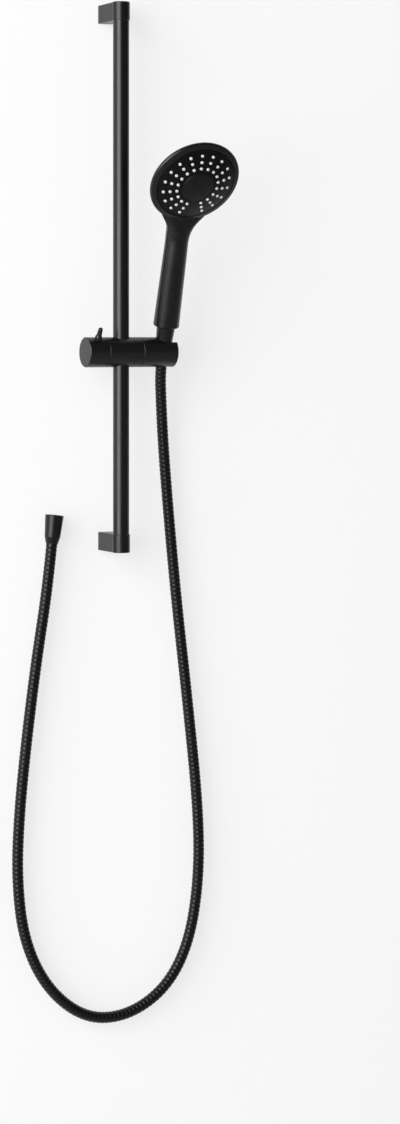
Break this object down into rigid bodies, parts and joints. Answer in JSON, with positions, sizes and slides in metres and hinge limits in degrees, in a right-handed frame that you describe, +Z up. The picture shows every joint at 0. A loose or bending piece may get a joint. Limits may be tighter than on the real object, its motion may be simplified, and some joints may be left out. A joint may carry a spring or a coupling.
{
  "type": "shower slide rail",
  "caption": "Wall-mounted shower rail with L brackets, a locking slider, a tilting holder, a round-headed handset and a ribbed hose that hangs in a loop.",
  "frame": {"origin": "on the wall, midway between the two fixing screws", "axes": "+Z up along the rail, +Y into the wall, +X towards the handset"},
  "size_m": [0.2871, 0.1971, 1.3984],
  "materials": {
    "rail_coat": "satin black powder coat on steel tube",
    "bracket_coat": "satin black powder coat on a casting",
    "slider_black": "satin black moulding",
    "lever_coat": "satin black",
    "handset_black": "satin black moulding",
    "face_black": "satin black moulding",
    "cap_black": "satin black moulding",
    "nozzle_white": "white silicone",
    "hose_black": "satin black ribbed",
    "nut_coat": "satin black",
    "brass_fitting": "turned",
    "washer_rubber": "matt",
    "steel_screw": "bright steel",
    "bush_plastic": "black acetal"
  },
  "bodies": {
    "wall_rail": {"rail_tube": "rail_coat", "upper_bracket": "bracket_coat", "lower_bracket": "bracket_coat", "upper_wall_boss": "brass_fitting", "lower_wall_boss": "brass_fitting", "upper_grub_screw": "steel_screw", "lower_grub_screw": "steel_screw", "hose": "hose_black", "outlet_hose_tail": "brass_fitting", "outlet_washer": "washer_rubber"},
    "slider": {"slider_body": "slider_black", "rail_bush": "bush_plastic", "spring_washer": "steel_screw", "friction_ring": "bush_plastic"},
    "lock_knob": {"lock_knob": "slider_black", "lock_lever": "lever_coat", "clamp_spindle": "steel_screw"},
    "brake_shoe": {"brake_shoe": "bush_plastic"},
    "holder": {"handset_holder": "slider_black", "holder_pivot_screw": "steel_screw", "handset_body": "handset_black", "face_plate": "face_black", "nozzle_mat": "nozzle_white", "centre_cap": "cap_black", "face_screw": "steel_screw", "inlet_spigot": "brass_fitting", "handset_hose_nut": "nut_coat", "handset_hose_tail": "brass_fitting", "handset_washer": "washer_rubber"},
    "outlet_nut": {"outlet_hose_nut": "nut_coat"}
  },
  "joints": [
    {"name": "slider_slide", "type": "slide", "parent": "wall_rail", "child": "slider", "axis": [0, 0, 1], "range_m": [-0.2265, 0.4305], "deforming": ["hose"]},
    {"name": "lock_turn", "type": "hinge", "parent": "slider", "child": "lock_knob", "pos_m": [-0.038, -0.055, -0.102], "axis": [1, 0, 0], "range_deg": [-60, 48]},
    {"name": "shoe_press", "type": "slide", "parent": "slider", "child": "brake_shoe", "axis": [1, 0, 0], "range_m": [-0.00026, 0.00021]},
    {"name": "holder_tilt", "type": "hinge", "parent": "slider", "child": "holder", "pos_m": [0.03, -0.055, -0.102], "axis": [1, 0, 0], "range_deg": [-18, 42], "deforming": ["hose"]},
    {"name": "outlet_nut_turn", "type": "hinge", "parent": "wall_rail", "child": "outlet_nut", "pos_m": [-0.0867, -0.018, -0.3625], "axis": [0.1028, 0, 0.9947], "continuous": true}
  ],
  "couplings": [
    {"joint": "shoe_press", "follows": "lock_turn", "m_per_rad": 0.00023873}
  ]
}
